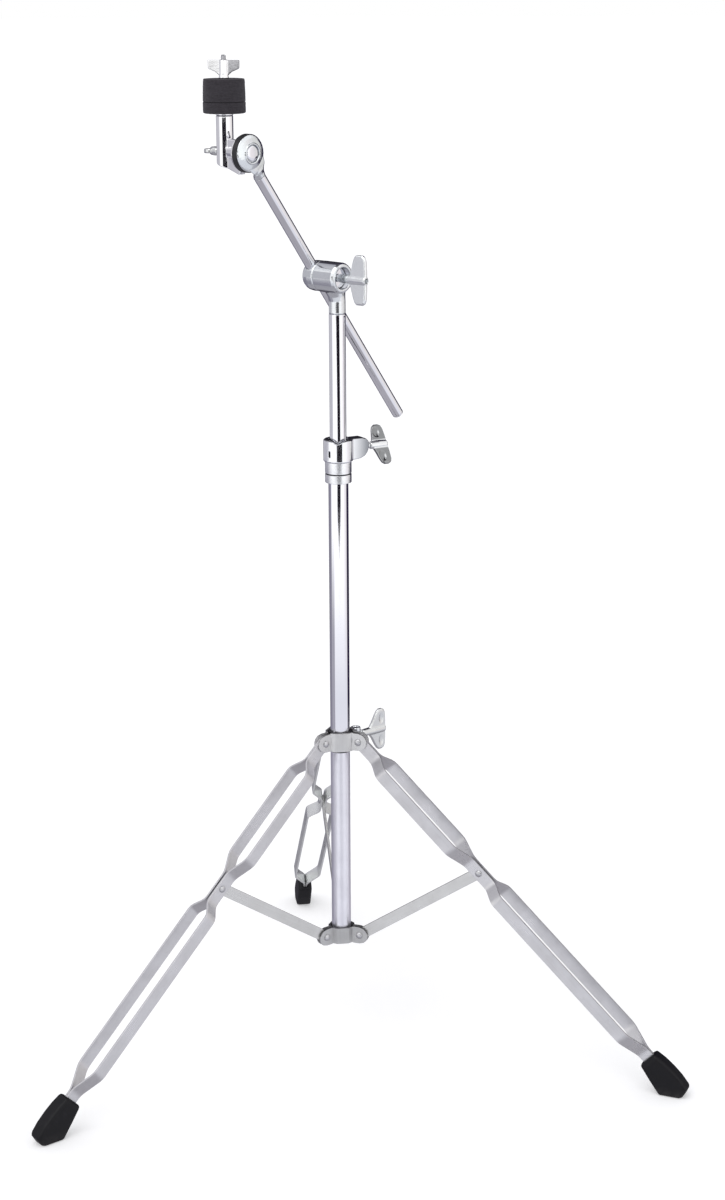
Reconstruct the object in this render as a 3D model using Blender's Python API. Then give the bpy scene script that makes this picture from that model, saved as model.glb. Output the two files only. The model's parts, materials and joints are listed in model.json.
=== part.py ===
"""Cymbal boom stand: folding tripod, two telescoping tubes, boom tilter, boom rod and cymbal tilter.

Lengths are in millimetres in this file and are turned into metres when a mesh is made. +Z is up, the floor is
z = 0 and the stand's front is -Y.
"""

import math

import bmesh
import bpy
from mathutils import Matrix, Vector

MM = 0.001
GAP = 0.3  # running clearance between neighbouring pieces

# Where the tube axis stands against the middle of the bounding box
AXIS_X = -33.065
AXIS_Y = -86.436
SOLE_Z = 2.6  # heights below are measured from this far under the soles

# Tubes
BASE_R = 12.7
BASE_BORE_R = 11.2
BASE_BOTTOM = 146.0
BASE_TOP = 797.7
UPPER_R = 10.5
UPPER_BORE_R = 9.3
UPPER_BOTTOM = 524.3
UPPER_TOP = 983.9
GUIDE_R = 10.9

# Tripod linkage
LEG_AZIMUTHS = (98.15, 218.15, 338.15)
PIVOT_R = 27.0
COLLAR_Z = 427.0
BRACKET_Z = 154.4
LEG_ANGLE = 46.45  # leg from vertical
UPPER_LINK = 230.2  # collar pivot to mid pivot, along the leg
STRIP_W = 17.0
STRIP_T = 2.5
STRIP_SPREAD = 18.2
STRIP_TOGETHER = 1.4
MID_SPREAD = 2.8
LEG_TO_FOOT = 548.0
LEG_END = 573.0
STRUT_W = 15.0
PLATE_T = 2.5
EAR_R = 11.7
RIVET_R = 3.0
RIVET_HEAD_R = 4.5
HOLE_R = 3.3

# Height clamp
CLAMP_AZ = 28.0
CLAMP_Z = 813.0
CLAMP_R = 18.8
SLEEVE_R = 16.8
SLEEVE_BOTTOM = 770.8

# Collar wing bolt
COLLAR_BOLT_AZ = 38.15

# Boom tilter
BOOM_AZ = 47.0
BOOM_TILT = 37.36  # rod from vertical
DRUM_Z = 1031.0
DRUM_H = -14.4
DRUM_R = 19.2
ROD_N = -20.0
ROD_R = 7.25
ROD_BORE_R = 6.05
ROD_UP = 195.7
ROD_DOWN = 246.0

# Cymbal tilter and seat
DISC_R = 21.8
NECK_END = 36.0
POST_M = -35.0
POST_R = 10.3
POST_TOP = 42.5
STEM_R = 3.0
STEM_TIP = 112.0
FELT_R = 25.6
FELT_SPLIT = 58.2
FELT_TOP = 84.7


def unit(azimuth):
    """Horizontal unit vector at an azimuth in degrees from +X."""
    a = math.radians(azimuth)
    return Vector((math.cos(a), math.sin(a), 0.0))


def frame(origin, x, y, z):
    """Matrix whose columns are three axes and an origin."""
    columns = Matrix((x.to_4d(), y.to_4d(), z.to_4d(), origin.to_4d())).transposed()
    columns[3] = (0.0, 0.0, 0.0, 1.0)
    return columns


UP = Vector((0.0, 0.0, 1.0))
BOOM_H = unit(BOOM_AZ)
BOOM_N = BOOM_H.cross(UP)
TILT = math.radians(BOOM_TILT)
ROD_DIR = BOOM_H * math.sin(TILT) - UP * math.cos(TILT)
CLAMP_CENTRE = BOOM_H * DRUM_H + UP * DRUM_Z
ROD_CENTRE = CLAMP_CENTRE + BOOM_N * ROD_N
DISC_CENTRE = ROD_CENTRE - ROD_DIR * ROD_UP


def principled(name, colour, roughness, metallic):
    """One Principled BSDF material."""
    mat = bpy.data.materials.new(name)
    mat.use_nodes = True
    shader = mat.node_tree.nodes["Principled BSDF"]
    shader.inputs["Base Color"].default_value = (*colour, 1.0)
    shader.inputs["Roughness"].default_value = roughness
    shader.inputs["Metallic"].default_value = metallic
    mat.diffuse_color = (*colour, 1.0)
    return mat


FINISHES = {
    "chrome": ((0.86, 0.87, 0.90), 0.08, 1.0),
    "satin": ((0.72, 0.72, 0.75), 0.30, 1.0),
    "cast": ((0.70, 0.72, 0.74), 0.26, 1.0),
    "black": ((0.02, 0.02, 0.022), 0.55, 0.0),
    "nylon": ((0.03, 0.03, 0.03), 0.45, 0.0),
    "rubber": ((0.022, 0.02, 0.024), 0.6, 0.0),
    "felt": ((0.055, 0.055, 0.06), 0.95, 0.0),
}


# ---------------------------------------------------------------- solids


def lathe(profile, segments=24):
    """Closed solid turned about Z from (radius, height) points, pole to pole or as a closed ring."""
    bm = bmesh.new()
    poles = profile[0][0] == 0.0 and profile[-1][0] == 0.0
    rings = []
    for r, z in profile:
        if r == 0.0:
            rings.append([bm.verts.new((0.0, 0.0, z))])
        else:
            turns = (2 * math.pi * k / segments for k in range(segments))
            rings.append([bm.verts.new((r * math.cos(a), r * math.sin(a), z)) for a in turns])
    pairs = list(zip(rings, rings[1:]))
    if not poles:
        pairs.append((rings[-1], rings[0]))
    for low, high in pairs:
        for k in range(segments):
            j = (k + 1) % segments
            if len(low) == 1:
                bm.faces.new((low[0], high[j], high[k]))
            elif len(high) == 1:
                bm.faces.new((low[k], low[j], high[0]))
            else:
                bm.faces.new((low[k], low[j], high[j], high[k]))
    bmesh.ops.recalc_face_normals(bm, faces=bm.faces)
    return bm


def loft(rings):
    """Closed solid through rings of the same number of points, with flat ends."""
    bm = bmesh.new()
    loops = [[bm.verts.new(p) for p in ring] for ring in rings]
    count = len(loops[0])
    for low, high in zip(loops, loops[1:]):
        for k in range(count):
            j = (k + 1) % count
            bm.faces.new((low[k], low[j], high[j], high[k]))
    bm.faces.new(tuple(reversed(loops[0])))
    bm.faces.new(tuple(loops[-1]))
    bmesh.ops.recalc_face_normals(bm, faces=bm.faces)
    return bm


def prism(outline, low, high):
    """Outline in XY, extruded from z = low to z = high."""
    return loft([[(x, y, z) for x, y in outline] for z in (low, high)])


def ellipse(centre, a, b, z, segments=20):
    """Level ring of points."""
    turns = (2 * math.pi * k / segments for k in range(segments))
    return [(centre[0] + a * math.cos(t), centre[1] + b * math.sin(t), z) for t in turns]


def rounded(points, reach=5.0, steps=3):
    """Path with each inner corner turned into a short curve. Points are (x, y, *rest)."""
    out = [points[0]]
    for before, corner, after in zip(points, points[1:], points[2:]):
        c = Vector(corner)
        ins, outs = Vector(before) - c, Vector(after) - c
        bend = ins.xy.angle(-outs.xy) if ins.xy.length and outs.xy.length else 0.0
        if bend < 0.1:
            out.append(corner)
            continue
        a = c + ins * min(reach / ins.xy.length, 0.45)
        b = c + outs * min(reach / outs.xy.length, 0.45)
        for k in range(steps + 1):
            t = k / steps
            out.append(tuple(a * (1 - t) ** 2 + c * 2 * t * (1 - t) + b * t * t))
    out.append(points[-1])
    return out


def ribbon(stations, thickness):
    """Flat strip on edge: (x, y, low, high) stations in plan, standing from low to high in z."""
    path = [Vector(s[:2]) for s in stations]
    rings = []
    for k, (point, station) in enumerate(zip(path, stations)):
        before = (point - path[k - 1]).normalized() if k else None
        after = (path[k + 1] - point).normalized() if k + 1 < len(path) else None
        first, last = before or after, after or before
        mitre = (first + last).normalized()
        normal = Vector((-mitre.y, mitre.x))
        reach = thickness / 2 / max(0.5, mitre.dot(first))
        a, b = point + normal * reach, point - normal * reach
        low, high = station[2], station[3]
        rings.append([(a.x, a.y, low), (b.x, b.y, low), (b.x, b.y, high), (a.x, a.y, high)])
    return loft(rings)


def moved(bm, matrix):
    """Transform a solid in place."""
    bmesh.ops.transform(bm, matrix=matrix, verts=bm.verts)
    return bm


def mesh_object(name, bm):
    """Object from a solid, in millimetres."""
    mesh = bpy.data.meshes.new(name)
    bm.to_mesh(mesh)
    bm.free()
    obj = bpy.data.objects.new(name, mesh)
    bpy.context.scene.collection.objects.link(obj)
    return obj


def combine(target, solids, operation):
    """Join solids to an object, or cut them from it, and bake the result."""
    for bm in solids:
        tool = mesh_object("tool", bm)
        tool.hide_render = True
        tool.display_type = "WIRE"
        mod = target.modifiers.new("combine", "BOOLEAN")
        mod.operation = operation
        mod.solver = "EXACT"
        mod.object = tool
        bpy.context.view_layer.update()
        graph = bpy.context.evaluated_depsgraph_get()
        baked = bpy.data.meshes.new_from_object(target.evaluated_get(graph))
        target.modifiers.clear()
        target.data = baked
        bpy.data.objects.remove(tool, do_unlink=True)


def tidy(mesh):
    """Weld stray points and drop slivers left by a cut."""
    bm = bmesh.new()
    bm.from_mesh(mesh)
    bmesh.ops.remove_doubles(bm, verts=bm.verts, dist=0.001)
    bmesh.ops.dissolve_degenerate(bm, edges=bm.edges, dist=0.001)
    bmesh.ops.recalc_face_normals(bm, faces=bm.faces)
    bm.to_mesh(mesh)
    bm.free()


def piece(name, finish, bm, place=None, add=(), cut=(), pivot=None, angle=35.0):
    """Finished part of the stand. place carries bm, add and cut from their own frame to the stand's."""
    obj = mesh_object(name, bm)
    combine(obj, add, "UNION")
    combine(obj, cut, "DIFFERENCE")
    tidy(obj.data)
    if place is not None:
        obj.data.transform(place)
    centre = Vector(pivot) if pivot is not None else Vector((0.0, 0.0, 0.0))
    obj.data.transform(Matrix.Translation(-centre))
    obj.data.transform(Matrix.Scale(MM, 4))
    obj.location = (centre + Vector((AXIS_X, AXIS_Y, -SOLE_Z))) * MM
    obj.data.name = name
    obj.data.materials.clear()
    obj.data.materials.append(principled(name, *FINISHES[finish]))
    obj.data.shade_smooth()
    obj.data.set_sharp_from_angle(angle=math.radians(angle))
    return obj


def rod(radius, low, high, segments=16, axis="Z", at=(0.0, 0.0, 0.0)):
    """Plain cylinder along a frame axis, used for shafts and holes."""
    bm = lathe([(0.0, low), (radius, low), (radius, high), (0.0, high)], segments)
    moved(bm, Matrix.Rotation(0.117, 4, "Z"))
    turn = {
        "Z": Matrix.Identity(4),
        "X": Matrix.Rotation(math.pi / 2, 4, "Y"),
        "Y": Matrix.Rotation(-math.pi / 2, 4, "X"),
    }[axis]
    return moved(bm, Matrix.Translation(at) @ turn)


def tube(radius, bore, low, high, segments=32, chamfer=0.5):
    """Open tube with lightly broken edges."""
    c = chamfer
    outer = [(radius - c, low), (radius, low + c), (radius, high - c), (radius - c, high)]
    return lathe(outer + [(bore, high), (bore, low)], segments)


# ---------------------------------------------------------------- tripod


def leg_frame(azimuth, centre, angle):
    """Frame with X along the leg, Y sideways round the tube and Z square to both."""
    out, side = unit(azimuth), UP.cross(unit(azimuth))
    along = out * math.sin(math.radians(angle)) - UP * math.cos(math.radians(angle))
    return frame(centre, along, side, along.cross(side))


def round_end(centre, radius, side, direction):
    """Stations of a rounded strip end about a pivot, from tip to pivot."""
    out = []
    for degrees in (16.0, 36.0, 58.0, 90.0):
        t = math.radians(degrees)
        half = radius * math.sin(t)
        out.append((centre + direction * radius * math.cos(t), side, -half, half))
    return out


def strip_path(sign):
    """Stations of one leg strip: pinched at the collar, the mid pivot and the foot, spread between."""
    near, wide, mid = STRIP_TOGETHER, STRIP_SPREAD, MID_SPREAD
    bends = [
        (0.0, near),
        (33.0, near),
        (50.0, wide),
        (UPPER_LINK - 46.0, wide),
        (UPPER_LINK - 20.0, mid),
        (UPPER_LINK + 23.0, mid),
        (UPPER_LINK + 39.0, wide),
        (LEG_TO_FOOT - 40.0, wide),
        (LEG_TO_FOOT - 9.0, near),
        (LEG_END, near),
    ]
    half = STRIP_W / 2
    path = [(s, sign * t, -half, half) for s, t in bends]
    return round_end(0.0, half, sign * near, -1.0)[:-1] + rounded(path, 5.0, 2)


def leg_strip(name, azimuth, sign):
    """One of a leg's two flat strips, with its two pivot holes."""
    pivot = unit(azimuth) * PIVOT_R + UP * COLLAR_Z
    holes = [rod(HOLE_R, -14.0, 14.0, 12, "Y", (s, 0.0, 0.0)) for s in (0.0, UPPER_LINK)]
    place = leg_frame(azimuth, pivot, LEG_ANGLE)
    return piece(name, "satin", ribbon(strip_path(sign), STRIP_T), place, cut=holes, pivot=pivot)


def mid_pivot(azimuth):
    """Where strut and leg meet."""
    along = leg_frame(azimuth, Vector(), LEG_ANGLE).col[0].xyz
    return unit(azimuth) * PIVOT_R + UP * COLLAR_Z + along * UPPER_LINK


def rivet_half(name, azimuth, sign):
    """Half of the mid rivet, seated in one strip and short of the strut."""
    inner, face = MID_SPREAD - STRIP_T / 2 + 0.15, MID_SPREAD + STRIP_T / 2 + GAP
    shape = [
        (0.0, inner),
        (RIVET_R, inner),
        (RIVET_R, face),
        (RIVET_HEAD_R, face),
        (RIVET_HEAD_R, face + 0.6),
        (RIVET_HEAD_R - 1.3, face + 1.6),
        (0.0, face + 2.0),
    ]
    out = UP.cross(unit(azimuth)) * sign
    centre = mid_pivot(azimuth)
    place = frame(centre, UP.cross(out), UP, out)
    return piece(name, "chrome", lathe(shape, 12), place, pivot=centre)


def rivet(name, azimuth, radius, height, face):
    """Whole pivot rivet through two ears, lying sideways."""
    head = RIVET_HEAD_R
    half = [(RIVET_R, face), (head, face), (head, face + 0.6), (head - 1.3, face + 1.6), (0.0, face + 2.0)]
    shape = [(r, -z) for r, z in reversed(half)] + half
    centre = unit(azimuth) * radius + UP * height
    side = UP.cross(unit(azimuth))
    return piece(name, "chrome", lathe(shape, 12), frame(centre, UP.cross(side), UP, side), pivot=centre)


def stamped_plate(name, azimuth, height, facet, ear_side, facet_half, collar_hole=False):
    """Plate round a third of the tube, with an ear beside this leg and one beside the next."""
    ear = round_end(PIVOT_R, EAR_R, ear_side, 1.0)
    start = facet + 2.0
    middle = unit(60.0) * facet
    across = unit(150.0) * 7.5
    half = [*ear, (start + 2.6, ear_side, -EAR_R, EAR_R), (start, ear_side, -facet_half, facet_half)]
    half.append(((middle - across).x, (middle - across).y, -facet_half, facet_half))
    turn = Matrix.Rotation(math.radians(60.0), 2)
    mirror = turn @ Matrix(((1, 0), (0, -1))) @ turn.inverted()
    other = [(*(mirror @ Vector(s[:2])), s[2], s[3]) for s in reversed(half)]
    holes = []
    for turn in (0.0, 120.0):
        side = 14.0 if turn == 0.0 else -14.0
        hole = rod(HOLE_R, 0.0, side, 12, "Y", (PIVOT_R, 0.0, 0.0))
        holes.append(moved(hole, Matrix.Rotation(math.radians(turn), 4, "Z")))
    if collar_hole:
        bore = rod(HOLE_R + 0.1, 10.0, 24.0, 12, "X")
        holes.append(moved(bore, Matrix.Rotation(math.radians(60.0), 4, "Z")))
    place = Matrix.Translation(UP * height) @ Matrix.Rotation(math.radians(azimuth), 4, "Z")
    return piece(name, "satin", ribbon(half + other, PLATE_T), place, cut=holes, pivot=UP * height)


def strut(name, azimuth):
    """Flat bar from the bottom bracket to the leg's mid pivot."""
    start = unit(azimuth) * PIVOT_R + UP * BRACKET_Z
    line = mid_pivot(azimuth) - start
    length = line.length
    side = UP.cross(unit(azimuth))
    half = STRUT_W / 2
    first = round_end(0.0, half, 0.0, -1.0)
    last = [(length - s[0], *s[1:]) for s in reversed(first)]
    holes = [rod(HOLE_R, -6.0, 6.0, 12, "Y", (s, 0.0, 0.0)) for s in (0.0, length)]
    along = line.normalized()
    place = frame(start, along, side, along.cross(side))
    return piece(name, "satin", ribbon(first + last, STRIP_T), place, cut=holes, pivot=start)


def foot(name, azimuth):
    """Rubber boot with a flat sole, slotted for the two strips."""
    out, side = unit(azimuth), UP.cross(unit(azimuth))
    sole = SOLE_Z
    outline = [
        (417.2, 37.6),
        (428.6, 20.4),
        (441.0, sole + 1.4),
        (443.0, sole),
        (470.5, sole),
        (472.8, sole + 1.2),
        (478.6, 13.8),
        (478.2, 17.0),
        (469.3, 28.4),
        (458.2, 39.4),
        (446.0, 49.4),
        (434.8, 56.6),
        (431.6, 54.8),
        (417.8, 40.4),
    ]
    layers = [(-10.6, 0.80), (-9.8, 0.92), (-7.0, 1.0), (7.0, 1.0), (9.8, 0.92), (10.6, 0.80)]
    cx, cz = 449.0, 27.0
    rings = []
    for y, size in layers:
        ring = []
        for r, z in outline:
            level = cz + (z - cz) * size if z > sole + 2.0 else z + (1.0 - size) * 6.0
            ring.append((cx + (r - cx) * size, level, y))
        rings.append(ring)
    body = loft(rings)
    sheet = frame(Vector(), out, UP, out.cross(UP))
    pivot = out * PIVOT_R + UP * COLLAR_Z
    to_leg = sheet.inverted() @ leg_frame(azimuth, pivot, LEG_ANGLE)
    half = STRIP_W / 2 + GAP
    deep = 2 * STRIP_TOGETHER + STRIP_T
    mouth, end = LEG_TO_FOOT - 30.0, LEG_END + GAP
    corners = [(mouth, -half), (end, -half), (end, half), (mouth, half)]
    slot = loft([[(s, y, q) for s, q in corners] for y in (-deep / 2 - GAP, deep / 2 + GAP)])
    return piece(name, "rubber", body, sheet, cut=[moved(slot, to_leg)], pivot=pivot)


def build_leg(index, azimuth):
    """Two strips, two rivet halves, a rubber foot and the strut of one leg."""
    for side, sign in (("left", 1), ("right", -1)):
        leg_strip(f"leg_{index}_strip_{side}", azimuth, sign)
        rivet_half(f"leg_{index}_rivet_{side}", azimuth, sign)
    foot(f"leg_{index}_foot", azimuth)
    strut(f"strut_{index}", azimuth)


def build_collar():
    """Sliding collar: three plates, three rivets, nylon bushing, nut block and wing bolt."""
    ear = STRIP_TOGETHER + STRIP_T / 2 + GAP + PLATE_T / 2
    for index, azimuth in enumerate(LEG_AZIMUTHS):
        stamped_plate(f"collar_plate_{index}", azimuth, COLLAR_Z, 16.3, ear, 12.5, index == 2)
        rivet(f"collar_rivet_{index}", azimuth, PIVOT_R, COLLAR_Z, ear + PLATE_T / 2 + GAP)
    low, high = COLLAR_Z - 15.0, COLLAR_Z + 12.2
    shape = [(13.0, low), (14.7, low), (14.7, high - 0.4), (14.3, high), (13.0, high)]
    piece("collar_bushing", "nylon", lathe(shape, 24), pivot=UP * COLLAR_Z)
    out = unit(COLLAR_BOLT_AZ)
    centre = UP * COLLAR_Z
    place = frame(centre, out, UP.cross(out), UP)
    flange = [
        (0.0, 17.9),
        (8.6, 17.9),
        (9.2, 18.5),
        (9.2, 20.2),
        (7.2, 21.4),
        (7.2, 32.4),
        (6.4, 33.2),
        (0.0, 33.2),
    ]
    body = moved(lathe(flange, 20), Matrix.Rotation(math.pi / 2, 4, "Y"))
    ring = [(0.0, 2.0), (6.6, 2.0), (6.6, 10.4), (5.9, 11.2), (4.4, 11.2), (3.7, 9.8), (0.0, 9.8)]
    boss = moved(lathe(ring, 20), Matrix.Translation((25.6, 0.0, 0.0)))
    bore = rod(3.3, 10.0, 40.0, 14, "X")
    piece("collar_nut", "chrome", body, place, add=[boss], cut=[bore], pivot=centre)
    wing_bolt("collar_wing_bolt", place, 15.1, (36.0, 74.0), (46.0, 74.0), 28.0, 13.0, pivot=centre)


def build_bracket():
    """Bottom bracket: three plates fixed to the tube, and three rivets."""
    ear = STRIP_T / 2 + GAP + PLATE_T / 2
    for index, azimuth in enumerate(LEG_AZIMUTHS):
        stamped_plate(f"bracket_plate_{index}", azimuth, BRACKET_Z, 14.4, ear, 11.2)
        rivet(f"bracket_rivet_{index}", azimuth, PIVOT_R, BRACKET_Z, ear + PLATE_T / 2 + GAP)


# ---------------------------------------------------------------- wing hardware


def wing_outline(low, high, span, lean):
    """Both wings as one outline: x along the bolt, y outward."""
    side = [
        (low, 3.0),
        (low + lean * 0.45, span * 0.40),
        (low + lean * 0.85, span * 0.75),
        (low + lean + 1.2, span * 0.92),
        (low + lean + 4.2, span),
        (high - 5.5, span),
        (high - 2.0, span * 0.93),
        (high - 0.5, span * 0.78),
        (high, span * 0.45),
        (high, 3.0),
    ]
    return side + [(x, -y) for x, y in reversed(side)]


def wings(low, high, span, lean, thick):
    """Pair of wings, thinner at the edge than at the middle."""
    outline = wing_outline(low, high, span, lean)
    cx = (low + high) / 2 + lean * 0.3
    rings = []
    for z, size in ((-thick / 2, 0.93), (-thick / 4, 1.0), (thick / 4, 1.0), (thick / 2, 0.93)):
        rings.append([(cx + (x - cx) * size, y * size, z) for x, y in outline])
    return loft(rings)


def wing_bolt(name, place, tip, hub, wing, span, lean, roll=0.0, pivot=None, bore=None, radius=4.9):
    """Cast wing bolt along the frame's X axis with wings standing in XZ, or a wing nut when bored."""
    a, b = hub
    r = radius
    waist = (a + b) / 2
    shape = [(0.0, a), (r * 0.8, a), (r, a + 1.2), (r * 1.12, waist), (r, b - 1.2), (r * 0.75, b), (0.0, b)]
    if tip is not None:
        shape = [(0.0, tip), (2.6, tip), (RIVET_R, tip + 0.5), (RIVET_R, a)] + shape[1:]
    body = moved(lathe(shape, 16), Matrix.Rotation(math.pi / 2, 4, "Y"))
    pair = moved(wings(*wing, span, lean, 5.2), Matrix.Rotation(math.pi / 2, 4, "X"))
    cuts = [rod(bore, a - 5.0, b + 5.0, 14, "X")] if bore else []
    turn = place @ Matrix.Rotation(math.radians(roll), 4, "X")
    return piece(name, "cast", body, turn, add=[pair], cut=cuts, pivot=pivot)


# ---------------------------------------------------------------- tubes and height clamp


def build_base():
    """Base tube, its bottom cap, the chrome sleeve and the cast height clamp with its bushing."""
    piece("base_tube", "satin", tube(BASE_R, BASE_BORE_R, BASE_BOTTOM, BASE_TOP))
    end = BASE_BOTTOM - GAP
    cap = [
        (0.0, end - 2.2),
        (11.9, end - 2.2),
        (BASE_R, end - 1.5),
        (BASE_R, end),
        (10.9, end),
        (10.9, end + 14.0),
        (0.0, end + 14.0),
    ]
    piece("base_cap", "black", lathe(cap, 24))
    r, low, high = SLEEVE_R, SLEEVE_BOTTOM, BASE_TOP
    ring = [
        (BASE_R + GAP, low),
        (r - 0.6, low),
        (r, low + 0.6),
        (r, low + 10.6),
        (r - 0.9, low + 11.1),
        (r - 0.9, low + 12.1),
        (r, low + 12.6),
        (r, high),
        (BASE_R + GAP, high),
    ]
    piece("clamp_sleeve", "chrome", lathe(ring, 28))
    build_clamp()


def build_clamp():
    """Cast ring with a tapering boss for the radial wing bolt."""
    low, high, r = BASE_TOP + GAP, 826.3, CLAMP_R
    ring = [(0.0, low), (r - 0.8, low), (r, low + 0.8), (r, high - 1.6), (r - 1.4, high), (0.0, high)]
    side = [
        (10.0, low),
        (17.0, low),
        (29.0, 799.6),
        (35.0, 802.4),
        (38.6, 807.0),
        (40.6, 812.4),
        (41.4, 816.0),
        (40.0, 820.4),
        (37.0, 823.8),
        (31.0, 826.0),
        (24.0, high),
        (10.0, high),
    ]
    layers = ((-8.0, 1.4), (-7.0, 0.3), (-5.6, 0.0), (5.6, 0.0), (7.0, 0.3), (8.0, 1.4))
    rings = []
    for y, inset in layers:
        ring_points = []
        for x, z in side:
            level = min(max(z, low + 0.2 + inset * 0.6), high - 0.2 - inset)
            ring_points.append((x - inset * (x > 20.0), level, y))
        rings.append(ring_points)
    boss = moved(loft(rings), Matrix.Rotation(math.pi / 2, 4, "X"))
    slit = prism([(-30.0, -1.3), (-10.0, -1.3), (-10.0, 1.3), (-30.0, 1.3)], 805.0, 812.5)
    dip = loft([[(x, 0.0, 822.1), (x, 18.6, 829.0), (x, -18.6, 829.0)] for x in (0.3, 30.0)])
    holes = [
        rod(12.7, 780.0, 840.0, 28),
        rod(3.3, 8.0, 60.0, 14, "X", (0.0, 0.0, CLAMP_Z)),
        moved(slit, Matrix.Rotation(0.45, 4, "Z")),
        moved(dip, Matrix.Rotation(math.radians(-90.0 - CLAMP_AZ), 4, "Z")),
    ]
    out = unit(CLAMP_AZ)
    place = frame(Vector(), out, UP.cross(out), UP)
    piece("clamp_body", "chrome", lathe(ring, 32), place, add=[boss], cut=holes)
    bush = [(10.8, 799.0), (12.4, 799.0), (12.4, 817.6), (10.8, 817.6)]
    piece("clamp_bushing", "nylon", lathe(bush, 24))
    axis = place @ Matrix.Translation((0.0, 0.0, CLAMP_Z))
    centre = UP * CLAMP_Z
    wing_bolt("clamp_wing_bolt", axis, 12.8, (44.6, 69.5), (48.0, 69.5), 27.5, 6.0, roll=-36.0, pivot=centre)


def build_upper_tube():
    """Guide plug and the upper tube with its dimple hole."""
    low, r = UPPER_BOTTOM, GUIDE_R
    plug = [
        (0.0, low - 8.3),
        (r - 0.6, low - 8.3),
        (r, low - 7.7),
        (r, low - GAP),
        (9.0, low - GAP),
        (9.0, low + 15.0),
        (0.0, low + 15.0),
    ]
    piece("tube_guide", "nylon", lathe(plug, 20), pivot=UP * low)
    hole = rod(1.3, 5.0, 14.0, 10, "X", (0.0, 0.0, 973.0))
    moved(hole, Matrix.Rotation(math.radians(-34.0), 4, "Z"))
    piece("upper_tube", "chrome", tube(UPPER_R, UPPER_BORE_R, low, UPPER_TOP), cut=[hole])


# ---------------------------------------------------------------- boom


def boom_frame(centre):
    """Frame with X along the tilter's axis, Y across and Z up."""
    return frame(centre, BOOM_N, BOOM_H, UP)


def turned(profile, segments=24):
    """Lathe about X from (x, radius) points."""
    return moved(lathe([(r, x) for x, r in profile], segments), Matrix.Rotation(math.pi / 2, 4, "Y"))


def build_boom_body():
    """Cast tilter body: a drum on a flared socket, with a spigot inside the upper tube."""
    drum = [
        (-10.7, 0.0),
        (-10.7, DRUM_R - 0.8),
        (-9.9, DRUM_R),
        (20.8, DRUM_R),
        (23.8, 17.4),
        (24.6, 15.4),
        (24.6, 0.0),
    ]
    levels = [
        (UPPER_TOP + GAP, 0.0, 0.0, 10.1, 10.1),
        (UPPER_TOP + 0.8, 0.0, 0.0, 10.5, 10.5),
        (1000.0, 0.0, 0.0, 10.5, 10.5),
        (1006.0, -0.1, -1.0, 10.6, 11.6),
        (1011.0, 0.2, -3.2, 10.9, 14.0),
        (1016.0, 0.8, -6.6, 11.2, 17.6),
        (1021.0, 1.8, -9.2, 12.2, 20.0),
        (1028.0, 3.0, -10.6, 13.3, 20.2),
        (1034.0, 4.0, -11.6, 13.6, 18.0),
        (1040.0, 4.5, -13.0, 12.0, 13.5),
    ]
    socket = loft([ellipse((n, h), a, b, z) for z, n, h, a, b in levels])
    spigot = rod(9.0, 958.0, 1004.0, 20)
    at = Matrix.Translation((0.0, DRUM_H, DRUM_Z))
    hollow = [(14.0, 0.0), (14.0, 12.9), (23.7, 13.3), (25.2, 14.8), (40.0, 14.8), (40.0, 0.0)]
    recess = moved(turned(hollow, 20), at)
    bore = rod(3.1, -30.0, 40.0, 14, "X", (0.0, DRUM_H, DRUM_Z))
    body = moved(turned(drum, 28), at)
    place = boom_frame(Vector())
    piece("boom_body", "cast", body, place, add=[socket, spigot], cut=[recess, bore], pivot=CLAMP_CENTRE)


def build_boom_head():
    """Domed clamp head with the rod's cross bore and its stud, plus the washer and the wing nut."""
    dome = [
        (-35.0, 0.0),
        (-34.6, 6.5),
        (-33.0, 12.0),
        (-30.0, 16.0),
        (-26.0, 18.3),
        (-21.0, 19.0),
        (-12.4, 19.0),
        (-11.0, 17.8),
        (-11.0, 2.8),
        (58.0, 2.8),
        (58.6, 2.2),
        (58.6, 0.0),
    ]
    place = boom_frame(CLAMP_CENTRE)
    bore = rod(ROD_R + GAP, -40.0, 40.0, 24)
    slope = Matrix.Translation((ROD_N, 0.0, 0.0)) @ Matrix.Rotation(TILT, 4, "X")
    head = turned(dome, 28)
    piece("boom_head", "cast", head, place, cut=[moved(bore, slope)], pivot=CLAMP_CENTRE)
    washer = [(14.3, 3.1), (14.3, 11.9), (14.8, 12.3), (16.4, 12.3), (16.4, 3.1)]
    piece("boom_washer", "chrome", turned(washer, 20), place, pivot=CLAMP_CENTRE)
    hub, wing = (16.8, 63.0), (35.0, 62.5)
    wing_bolt("boom_wing_nut", place, None, hub, wing, 30.5, 8.0, 0.0, CLAMP_CENTRE, 3.1, 5.2)


def rod_frame():
    """Frame at the clamp centre with Z down the rod and X along the tilter's axis."""
    return frame(ROD_CENTRE, BOOM_N, ROD_DIR.cross(BOOM_N), ROD_DIR)


def build_rod():
    """Boom rod and the plug in its lower end."""
    low, high = -(ROD_UP - NECK_END - GAP), ROD_DOWN - 2.6
    piece("boom_rod", "chrome", tube(ROD_R, ROD_BORE_R, low, high, 28, 0.4), rod_frame(), pivot=ROD_CENTRE)
    a = high + GAP
    plug = [
        (0.0, a - 12.0),
        (5.7, a - 12.0),
        (5.7, a),
        (ROD_R, a),
        (ROD_R, a + 1.5),
        (ROD_R - 0.8, a + 2.3),
        (0.0, a + 2.3),
    ]
    piece("boom_end_plug", "chrome", lathe(plug, 20), rod_frame(), pivot=ROD_CENTRE)


# ---------------------------------------------------------------- cymbal tilter


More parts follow.
